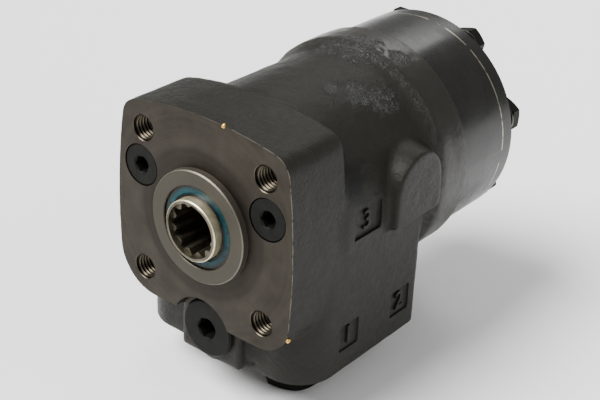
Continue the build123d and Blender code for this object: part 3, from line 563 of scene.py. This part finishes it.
def bump(material, shader, height, strength, depth):
    """Relief on a shader and its coat, its full height given in millimetres."""
    normal = add(
        material,
        "ShaderNodeBump",
        {"Height": height, "Strength": strength, "Distance": depth * mm},
    ).outputs["Normal"]
    join_to(material, shader, "Normal", normal)
    join_to(material, shader, "Coat Normal", normal)


def cast_paint():
    """Satin black enamel over sand-cast iron: mottled grain, wet lumpy patches, a chipped front edge and
    painted shade behind the block's rear edge.
    """
    material, shader = new_material(
        "black_enamel_on_cast_iron", Specular_IOR_Level=0.15, Coat_Roughness=0.08
    )
    place = place_of(material)
    mottle = grain(material, place, 9.0, detail=5.0)
    ragged = grain(material, place, 3.5, detail=6.0, roughness=0.75)
    sand = grain(material, place, 1.6, detail=6.0, roughness=0.7)
    beads = grain(material, place, 1.1, detail=2.0)
    x, y, _ = parts_of(material, place)

    # The enamel ran together in patches and in the fillet before the rear ring
    patches = highest(material, [near(material, place, *patch, ragged) for patch in wet_patches])
    fillet = times(material, between(material, y, fillet_edges), band(material, ragged, 0.46, 0.56))
    wet = highest(material, [patches, times(material, fillet, 0.8)])
    wet = times(material, wet, band(material, ragged, 0.36, 0.52, 1.0, 0.35))

    # Bare iron shows through chips along the front edge, more of them to the right
    chips = times(material, past(material, y, front_edge, 1.0, 0.0), band(material, ragged, 0.42, 0.5))
    chips = times(material, chips, past(material, x, chipped_side, 0.1, 0.8))

    paint = blend_colours(material, mottle, linear("#12120e"), linear("#1f1e17"))
    paint = blend_colours(material, band(material, sand, 0.35, 0.75), paint, linear("#1a1814"))
    # Painted shade: the neck in the corner behind the block's rear edge is darkened, as the wet paint is
    blotch = near(material, place, *corner_shade_patch, mottle)
    wet_and_shaded = highest(material, [times(material, blotch, 0.9), wet])
    paint = blend_colours(material, wet_and_shaded, paint, linear("#060605"))
    join_to(material, shader, "Base Color", blend_colours(material, chips, paint, linear("#8a8478")))
    join_to(material, shader, "Metallic", chips)
    join_to(material, shader, "Roughness", band(material, sand, 0.3, 0.7, 0.36, 0.54))
    gloss_ring = past(material, y, rear_gloss_edge, 0.0, 0.3)
    join_to(material, shader, "Coat Weight", highest(material, [wet, gloss_ring]))

    # The rear ring is smoother than the rest, and the wet paint stands in beads
    coarse = times(material, sand, past(material, y, rear_ring_edge, 0.7, 0.2))
    lumps = times(material, times(material, beads, wet), 1.8)
    bump(material, shader, math_of(material, "ADD", coarse, lumps), 0.9, 0.5)
    return material


def machined_iron():
    """Faced grey iron under a film of oil: brownish, dull, with faint turning arcs round the bore."""
    material, shader = new_material("faced_grey_iron", Metallic=1.0)
    place = place_of(material)
    radius = off_axis(material, place)
    arcs = rings(material, radius, 2.4)
    blotch = grain(material, place, 14.0, detail=5.0)
    speck = grain(material, place, 0.5, detail=5.0, roughness=0.7)
    tone = two_tone(material, blotch, 0.3, 0.7, "#2d2924", "#3d3933")
    tone = blend_colours(material, band(material, arcs, 0.4, 0.7, 0.0, 0.3), tone, linear("#4a453c"))

    # A darker ring lies round the spigot, whose own face is brighter and whose rim carries a painted
    # highlight
    darker_ring = times(material, between(material, radius, darker_ring_edges), 0.5)
    tone = blend_colours(material, darker_ring, tone, linear("#221e1a"))
    collar = times(material, past(material, radius, collar_edge, 1.0, 0.0), 0.6)
    tone = blend_colours(material, collar, tone, linear("#4e4b43"))
    # Painted highlight: a bright band on the chamfer of the spigot's rim
    tone = blend_colours(material, between(material, radius, rim_highlight_edges), tone, linear("#6c675d"))
    join_to(material, shader, "Base Color", tone)
    join_to(material, shader, "Roughness", band(material, speck, 0.3, 0.7, 0.42, 0.6))
    relief = math_of(material, "ADD", arcs, times(material, speck, 0.5))
    bump(material, shader, relief, 0.25, 0.03)
    return material


def tapped_iron():
    """Cut threads and drilled walls: bright crests, and painted shade black in the thread roots."""
    material, shader = new_material("oiled_cut_iron", Metallic=1.0)
    place = place_of(material)
    x, _, z = parts_of(material, place)
    across, up = (
        math_of(material, "SUBTRACT", math_of(material, "ABSOLUTE", side), mount_offset * mm)
        for side in (x, z)
    )
    # Painted shade: the roots of the threads are painted near black
    root_shade = between(material, off_line(material, across, up), root_shade_edges)
    blotch = grain(material, place, 6.0, detail=2.0)
    tone = two_tone(material, blotch, 0.35, 0.7, "#443e34", "#5d5649")
    join_to(material, shader, "Base Color", blend_colours(material, root_shade, tone, linear("#0b0a08")))
    join_to(material, shader, "Roughness", band(material, blotch, 0.3, 0.7, 0.3, 0.4))
    return material


def stack_paint():
    """Gloss black enamel over turned steel: fine orange peel, and bright lines where the pieces meet, partly
    bare metal and partly painted edge highlight.
    """
    material, shader = new_material("gloss_black_enamel", Specular_IOR_Level=0.32)
    place = place_of(material)
    _, y, _ = parts_of(material, place)
    mottle = grain(material, place, 11.0, detail=4.0)
    peel = grain(material, place, 1.8, detail=2.0)
    speck = grain(material, place, 7.0, detail=4.0)
    lines = []
    for station in (joint_face, gear_rear):
        away = math_of(material, "ABSOLUTE", math_of(material, "SUBTRACT", y, station * mm))
        lines.append(past(material, away, joint_line_edge, 1.0, 0.0))
    # The joint lines are partly worn bare metal and partly a painted highlight on the pieces' edges
    bare_edge_and_highlight = times(material, highest(material, lines), band(material, speck, 0.44, 0.52))
    paint = blend_colours(material, mottle, linear("#0b0b09"), linear("#151411"))
    join_to(material, shader, "Base Color", blend_colours(material, bare_edge_and_highlight, paint, linear("#a39d8c")))
    join_to(material, shader, "Metallic", bare_edge_and_highlight)
    join_to(material, shader, "Roughness", band(material, mottle, 0.3, 0.7, 0.22, 0.34))
    bump(material, shader, peel, 0.25, 0.06)
    return material


def black_oxide():
    """Blackened steel screws: matt charcoal with fine grain."""
    material, shader = new_material("blackened_steel", Metallic=0.1, Specular_IOR_Level=0.08)
    place = place_of(material)
    speck = grain(material, place, 0.6, detail=5.0, roughness=0.7)
    blotch = grain(material, place, 5.0, detail=3.0)
    join_to(material, shader, "Base Color", two_tone(material, blotch, 0.3, 0.7, "#0b0b09", "#151512"))
    join_to(material, shader, "Roughness", band(material, speck, 0.3, 0.7, 0.44, 0.6))
    bump(material, shader, speck, 0.3, 0.05)
    return material


def seal_rubber():
    """Blue-green polyurethane wiper in a dull grey case, with painted shade at its inner lip."""
    material, shader = new_material("blue_green_polyurethane", Specular_IOR_Level=0.15)
    place = place_of(material)
    radius = off_axis(material, place)
    blotch = grain(material, place, 4.0, detail=4.0)
    tone = two_tone(material, blotch, 0.3, 0.7, "#04191f", "#0c3d44")
    # Painted shade darkens the inner lip, deep in the gap at the shaft
    lip_shade = past(material, radius, seal_lip_shade_edge, 1.0, 0.0)
    case = past(material, radius, seal_case_edge)
    tone = blend_colours(material, lip_shade, tone, linear("#030607"))
    join_to(material, shader, "Base Color", blend_colours(material, case, tone, linear("#23221e")))
    join_to(material, shader, "Roughness", band(material, blotch, 0.3, 0.7, 0.22, 0.42))
    bump(material, shader, grain(material, place, 0.7), 0.2, 0.05)
    return material


def shaft_steel():
    """Ground shaft whose outside is tinted straw as a painted warm reflection, and a dark oily spline inside
    its rim.
    """
    material, shader = new_material("ground_shaft_steel", Metallic=1.0)
    place = place_of(material)
    outside = past(material, off_axis(material, place), shaft_edge)
    _, y, _ = parts_of(material, place)
    along = rings(material, y, 0.5)
    blotch = grain(material, place, 3.5, detail=4.0)
    # Painted reflection: the straw tint of the outside stands in for warm light on the steel
    ground = two_tone(material, blotch, 0.35, 0.7, "#cfc29c", "#f4ead0")
    oily = two_tone(material, blotch, 0.35, 0.7, "#4f4b3f", "#6f695c")
    join_to(material, shader, "Base Color", blend_colours(material, outside, oily, ground))
    join_to(material, shader, "Roughness", band(material, along, 0.3, 0.7, 0.44, 0.52))
    bump(material, shader, along, 0.15, 0.01)
    return material


def black_rubber():
    """Nitrile rubber: near black, soft sheen."""
    material, shader = new_material("black_nitrile_rubber", Roughness=0.55)
    place = place_of(material)
    tone = blend_colours(material, grain(material, place, 2.0), linear("#121212"), linear("#1e1d1c"))
    join_to(material, shader, "Base Color", tone)
    bump(material, shader, grain(material, place, 0.4), 0.2, 0.03)
    return material


def steel(name, dark, light, smoothest, roughest):
    """Ground or polished steel with a tight turned grain round the spline axis."""
    material, shader = new_material(name, Metallic=1.0)
    place = place_of(material)
    _, y, _ = parts_of(material, place)
    along = rings(material, y, 0.35)
    blotch = grain(material, place, 3.5, detail=4.0)
    join_to(material, shader, "Base Color", two_tone(material, blotch, 0.35, 0.7, dark, light))
    join_to(material, shader, "Roughness", band(material, along, 0.3, 0.7, smoothest, roughest))
    bump(material, shader, along, 0.2, 0.01)
    return material


def brass_daub():
    """Yellow metal pressed into the edge: rough and ragged, brighter on its high places."""
    material, shader = new_material("yellow_brass", Metallic=1.0)
    place = place_of(material)
    speck = grain(material, place, 0.4, detail=4.0)
    tone = blend_colours(material, speck, linear("#a8741c"), linear("#f2c46a"))
    join_to(material, shader, "Base Color", tone)
    join_to(material, shader, "Roughness", band(material, speck, 0.3, 0.7, 0.15, 0.4))
    bump(material, shader, speck, 0.5, 0.1)
    return material


enamel = cast_paint()
faced = machined_iron()
tapped = tapped_iron()
gloss = stack_paint()
blackened = black_oxide()
wiper = seal_rubber()
nitrile = black_rubber()
ground_steel = steel("ground_steel", "#7b766d", "#a39c90", 0.16, 0.3)
shaft_finish = shaft_steel()
washer_steel = steel("oiled_steel_washer", "#3a382f", "#57534a", 0.25, 0.4)
yellow = brass_daub()

finishes = {
    "cast_housing": enamel,
    "dust_seal_rubber": wiper,
    "black_rubber": nitrile,
    "bright_steel": ground_steel,
    "black_steel": gloss,
    "black_oxide": blackened,
    "seal_washer": washer_steel,
}
for row in frame["record"]["subparts"]:
    node = frame["nodes"][row["node"]]
    finish = shaft_finish if row["node"] == "spool" else finishes[row["material_slot"]]
    if not node.material_slots:
        node.data.materials.append(finish)
    for holder in node.material_slots:
        holder.material = finish


# Housing casting. Its cast skin is one rounded mesh, and the machined faces are cut from it afterwards.
# Sizes are millimetres.

# Fillers of the bores: how far they run out of the front, the rear and the port face, first for
# the skin and then for the bores cut back out of it
skin_fill = (-1.8, 103.5, -61.5)
negative_fill = (-4.0, 104.0, -63.0)
main_fill_radius = 22.0
rear_fill_inner = 18.0
rear_fill_outer = 44.5
rear_fill = ((62.0, rear_fill_inner), (62.0, 42.6), (92.0, 42.6), (92.0, rear_fill_outer))
port_fill_half = 27.0
port_fill_front = 25.5
port_fill_rear = 80.0
port_fill_top = -12.0
relief_fill = (
    (4.0, 0),
    (4.0, 10.2),
    (18.5, 10.2),
    (18.5, 6.0),
    (43.0, 6.0),
    (43.0, 3.0),
    (53.5, 3.0),
    (53.5, 0),
)
shock_fill_radius = 8.8
shock_fill = ((12.0, shock_fill_radius), (12.0, 5.6), (46.0, 5.6), (46.0, 0))
tap_fill_radius = 5.4
tap_fill_end = 20.0

# Stock on the machined faces: slices of the housing, as two corners and a shift, and a rear ring
front_stock = ((-60, 1.0, -60), (60, 4.0, 60), (0, -2.9, 0))
port_stock = ((-60, 10.5, -58.5), (60, 82.5, -55.0), (0, 0, -3.4))
rear_stock = (98.0, 104.0, 30.0, ring_radius)

# Fillers of the label windows and the notch
neck_window_fill = (34.0, 52.0, 30.0, 43.4)
block_window_fill = ((39.0, 29.0, -53.0), (42.3, 77.0, -38.0))
notch_fill = ((-14.6, 0.5, -39.4), (14.6, 6.0, -30.0))

# What is cut from the block's corners, and how far every facing cut runs clear of the casting
corner_out = 2.0
corner_back = 0.4
corner_heights = (-70.0, -20.0)
corner_run = 10.0
clear_side = 70.0
clear_bottom = -90.0
clear_front = -20.0
clear_rear = 130.0
port_cut_start = 9.0

casting_slots = (enamel, faced, tapped)
painted, machined, threaded = range(len(casting_slots))


def cad_copy(name):
    """A merged copy of a CAD node's mesh, free of its body."""
    only(frame["nodes"][name])
    bpy.ops.object.duplicate()
    piece = bpy.context.object
    bpy.ops.object.parent_clear(type="CLEAR_KEEP_TRANSFORM")
    for key in [k for k in piece.keys() if k.startswith("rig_")]:
        del piece[key]
    apply_place(piece)
    piece.data.materials.clear()
    bpy.ops.object.mode_set(mode="EDIT")
    bpy.ops.mesh.select_all(action="SELECT")
    bpy.ops.mesh.remove_doubles(threshold=merge_distance)
    bpy.ops.mesh.customdata_custom_splitnormals_clear()
    bpy.ops.object.mode_set(mode="OBJECT")
    return piece


def mounting_holes():
    """The centres of the four mounting holes."""
    return [(x, z) for x in (-mount_offset, mount_offset) for z in (-mount_offset, mount_offset)]


def bore_fillers(front, rear, bottom):
    """Solids that hold every bore of the housing, out to the given front, rear and bottom."""
    shock_x, shock_z = shock_place
    solids = [
        hoop(front, rear, 0, main_fill_radius),
        turned([*rear_fill, (rear, rear_fill_outer), (rear, rear_fill_inner)]),
        box((-port_fill_half, port_fill_front, bottom), (port_fill_half, port_fill_rear, port_fill_top)),
        turned(relief_fill, (0, -relief_drop)),
    ]
    for x in (-shock_x, shock_x):
        solids.append(turned([(front, 0), (front, shock_fill_radius), *shock_fill], (x, shock_z)))
    for centre in mounting_holes():
        solids.append(hoop(front, tap_fill_end, 0, tap_fill_radius, centre))
    return solids


def slab(low, high, shift):
    """The part of the housing between two corners, moved along."""
    return moved(cut(cad_copy("housing"), box(low, high), "INTERSECT"), shift)


def corner_waste(side):
    """What the rounded rear corner of the port block leaves out."""
    across, along = side * (block_half - block_corner), block_rear - block_corner
    left, right = sorted((across, side * (block_half + corner_out)))
    bottom, top = corner_heights
    waste = box((left, along, bottom), (right, block_rear + corner_back, top))
    bar = prism(corner_sides, block_corner, bottom - corner_run, top + corner_run, (across, along), axis="Z")
    return cut(waste, bar)


def cast_skin():
    """The rough casting, with stock left on the faces that are machined."""
    skin = joined(
        [cad_copy("housing")]
        + bore_fillers(*skin_fill)
        + [
            slab(*front_stock),
            slab(*port_stock),
            hoop(*rear_stock),
            hoop(*neck_window_fill),
            box(*notch_fill),
            box(*block_window_fill),
        ]
    )
    modify(skin, "skin", "REMESH", mode="VOXEL", voxel_size=skin_voxel * mm)
    for side in (-1, 1):
        cut(skin, corner_waste(side))
    modify(skin, "corner_skin", "REMESH", mode="VOXEL", voxel_size=skin_voxel * mm)
    modify(skin, "round", "SMOOTH", factor=0.5, iterations=skin_rounding)
    clouds = bpy.data.textures.new("cast_waves", "CLOUDS")
    clouds.noise_scale = cast_wave_size * mm
    clouds.noise_depth = 2
    modify(skin, "waves", "DISPLACE", texture=clouds, strength=cast_wave_height * mm, texture_coords="LOCAL")
    return skin


def thread(centre):
    """A tap: a zigzag of thread crests turned along a helix and cut off square at both ends."""
    x, z = centre
    zigzag = []
    station = tap_start - tap_pitch
    while station < tap_end + tap_pitch:
        zigzag += [(x, station, z + tap_minor - overlap), (x, station + tap_pitch / 2, z + tap_major)]
        station += tap_pitch
    helix = drawn(zigzag)
    only(helix)
    bpy.context.scene.cursor.location = (x * mm, 0, z * mm)
    bpy.ops.object.origin_set(type="ORIGIN_CURSOR")
    modify(
        helix,
        "helix",
        "SCREW",
        axis="Y",
        angle=2 * math.pi,
        screw_offset=tap_pitch * mm,
        steps=thread_steps,
        render_steps=thread_steps,
        use_merge_vertices=True,
        merge_threshold=merge_distance,
    )
    apply_place(helix)
    bpy.ops.object.mode_set(mode="EDIT")
    for station, normal in ((tap_start, -1), (tap_end, 1)):
        bpy.ops.mesh.select_all(action="SELECT")
        bpy.ops.mesh.bisect(
            plane_co=(0, station * mm, 0), plane_no=(0, normal, 0), use_fill=True, clear_outer=True
        )
    bpy.ops.mesh.select_all(action="SELECT")
    bpy.ops.mesh.remove_doubles(threshold=merge_distance)
    bpy.ops.mesh.normals_make_consistent(inside=False)
    bpy.ops.object.mode_set(mode="OBJECT")
    return helix


def cutter(piece, finish=machined):
    """A cutting tool whose cuts take one of the casting's slots."""
    return finish_slots(piece, casting_slots, finish)


def facing(front, rear, top):
    """A cutter for all of the casting between two stations and below a height."""
    return cutter(box((-clear_side, front, clear_bottom), (clear_side, rear, top)))


def make_casting():
    """The housing: its cast skin, faced, bored, tapped and with its spigot and label windows."""
    casting = finish_slots(cast_skin(), casting_slots, painted)
    cut(casting, facing(clear_front, 0, clear_side))
    cut(casting, facing(port_cut_start, clear_rear, -port_face))
    cut(casting, facing(joint_face, clear_rear, clear_side))
    negative = united([cutter(filler, threaded) for filler in bore_fillers(*negative_fill)])
    cut(negative, cutter(cad_copy("housing"), threaded))
    cut(casting, negative)
    cut(casting, cutter(hoop(-notch_depth, notch_depth, 0, notch_radius, (0, -relief_drop))))
    for centre in mounting_holes():
        cut(casting, cutter(thread(centre), threaded))
        cut(casting, cutter(turned(tap_mouth, centre), threaded))
    spigot = turned(
        [
            (-spigot_height, seal_radius + seal_lead),
            (-spigot_height, spigot_radius - spigot_bevel),
            (spigot_bevel - spigot_height, spigot_radius),
            (spigot_root, spigot_radius),
            (spigot_root, seal_radius),
            (seal_lead - spigot_height, seal_radius),
        ]
    )
    cut(casting, cutter(spigot), "UNION")
    for low, high in windows:
        cut(casting, cutter(rounded(box(low, high), window_rounding), painted))
    smooth(casting, angle=32.0)
    return put(casting, "housing_casting", replaces=("housing",))


def socket_plug(name, profile, flats, depth, centre, replaces):
    """A screw plug with a hexagon socket, its edge broken and the socket countersunk."""
    front = profile[0][0]
    plug = turned(profile, centre)
    cut(plug, prism(6, flats / math.sqrt(3), front - socket_run, front + depth, centre, turn=socket_turn))
    countersink = turned(
        [
            (front - socket_clear, 0),
            (front - socket_clear, flats / 2 + socket_lead + socket_clear),
            (front + socket_lead, flats / 2 - socket_clear),
            (front + socket_lead, 0),
        ],
        centre,
    )
    cut(plug, countersink)
    finish_slots(plug, (blackened,))
    smooth(plug)
    return put(plug, name, replaces=(replaces,))


def make_tank_plug():
    """Hexagon plug of the tank port: chamfered head, flange and stub."""
    head = prism(6, tank_plug_corner, -tank_plug_end, -tank_plug_root, turn=tank_plug_turn, axis="Z")
    cut(head, upright(turned(tank_plug_crown)), "INTERSECT")
    plug = cut(head, upright(turned(tank_plug_flange)), "UNION")
    moved(plug, tank_plug_place)
    finish_slots(plug, (blackened,))
    rounded(plug, tank_plug_rounding, angle=40.0)
    smooth(plug)
    return put(plug, "tank_port_cap", replaces=("tank_port_plug",))


def make_bolts():
    """Hexagon bolts: chamfered heads with a washer face, on the shanks of the CAD bolts."""
    shanks = cut(cad_copy("cover_bolts"), box(*bolt_shanks), "INTERSECT")
    heads = []
    for k in range(bolt_count):
        angle = math.radians(first_bolt_angle + 360 * k / bolt_count)
        centre = (bolt_circle * math.cos(angle), bolt_circle * math.sin(angle))
        head = prism(6, bolt_corner, bolt_head_start, bolt_head_end, centre, turn=bolt_head_turn * k)
        cut(head, turned(bolt_crown, centre), "INTERSECT")
        heads.append(cut(head, turned(bolt_neck, centre), "UNION"))
    bolts = joined([shanks] + heads)
    finish_slots(bolts, (blackened,))
    smooth(bolts)
    return put(bolts, "cover_bolt_set", replaces=("cover_bolts",))


def make_coil(name):
    """A coil spring, copied from its CAD node onto a mesh of its own."""
    coil = finish_slots(cad_copy(name), (ground_steel,))
    smooth(coil, angle=60.0)
    put(coil, f"{name}_coil", replaces=(name,))
    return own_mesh(coil)


def make_crumb(name, place, size, wave):
    """A small ragged lump of metal."""
    bpy.ops.object.select_all(action="DESELECT")
    bpy.ops.mesh.primitive_ico_sphere_add(subdivisions=3, radius=size * mm, location=[c * mm for c in place])
    lump = apply_place(bpy.context.object)
    waves = bpy.data.textures.new(name, "CLOUDS")
    waves.noise_scale = size * wave * mm
    strength = crumb_raggedness * size * mm
    modify(lump, "ragged", "DISPLACE", texture=waves, strength=strength, texture_coords="LOCAL")
    finish_slots(lump, (yellow,))
    smooth(lump, angle=60.0)
    return put(lump, name)


def make_figure(name, letter, place):
    """A plain raised figure in a label window, facing right."""
    bpy.ops.object.select_all(action="DESELECT")
    bpy.ops.object.text_add(location=[c * mm for c in place], rotation=(math.pi / 2, 0, math.pi / 2))
    sign = bpy.context.object
    sign.data.body = letter
    sign.data.size = figure_height * mm
    sign.data.align_x = "CENTER"
    sign.data.align_y = "CENTER"
    sign.data.extrude = figure_thickness * mm
    sign.data.bevel_depth = figure_edge * mm
    bpy.ops.object.convert(target="MESH")
    sign = apply_place(bpy.context.object)
    finish_slots(sign, (enamel,))
    smooth(sign)
    return put(sign, name)


make_casting()
for side, word in ((-1, "left"), (1, "right")):
    centre = (side * shock_place[0], shock_place[1])
    socket_plug(
        f"shock_cap_{word}", shock_cap, shock_cap_flats, shock_cap_depth, centre, f"shock_plug_{word}"
    )
socket_plug("relief_cap", relief_cap, relief_cap_flats, relief_cap_depth, (0, -relief_drop), "relief_plug")
make_tank_plug()
make_bolts()
make_coil("relief_spring")
make_coil("shock_spring_left")
make_coil("shock_spring_right")
for crumb in crumbs:
    make_crumb(*crumb)
for figure in figures:
    make_figure(*figure)

bpy.ops.object.camera_add(location=camera_place)
camera = bpy.context.object
camera.name = "photo_camera"
turn = Matrix.Rotation(math.radians(camera_azimuth), 4, "Z")
tilt = Matrix.Rotation(math.radians(90 - camera_elevation), 4, "X")
roll = Matrix.Rotation(math.radians(camera_roll), 4, "Z")
camera.matrix_world = Matrix.Translation(camera_place) @ turn @ tilt @ roll
camera.data.lens = camera_lens
camera.data.clip_start = camera_near
bpy.context.scene.camera = camera

# A pale floor that runs out into a pale studio
floor_material, _ = new_material("studio_floor", Base_Color=linear("#f4f4f4"), Roughness=0.9)
bpy.ops.mesh.primitive_plane_add(size=floor_size, location=(0, 0, cad_box[0].z - floor_gap))
floor = bpy.context.object
floor.name = "floor"
floor.data.materials.append(floor_material)

world = bpy.data.worlds.new("studio")
bpy.context.scene.world = world
world.use_nodes = True
world.node_tree.nodes["Background"].inputs["Color"].default_value = linear("#ffffff")
world.node_tree.nodes["Background"].inputs["Strength"].default_value = studio_strength


def aim(place):
    """The turn of a light that stands at a place and looks at the middle of the unit."""
    direction = (cad_box[0] + cad_box[1]) / 2 - Vector(place)
    return direction.to_track_quat("-Z", "Y").to_euler()


bpy.ops.object.light_add(type="SUN", location=key_place, rotation=aim(key_place))
key = bpy.context.object
key.name = "wide_key_light"
key.data.angle = math.radians(key_width)
key.data.energy = key_strength
for name, place, width, power in softboxes:
    bpy.ops.object.light_add(type="AREA", location=place, rotation=aim(place))
    light = bpy.context.object
    light.name = name
    light.data.size = width
    light.data.energy = power
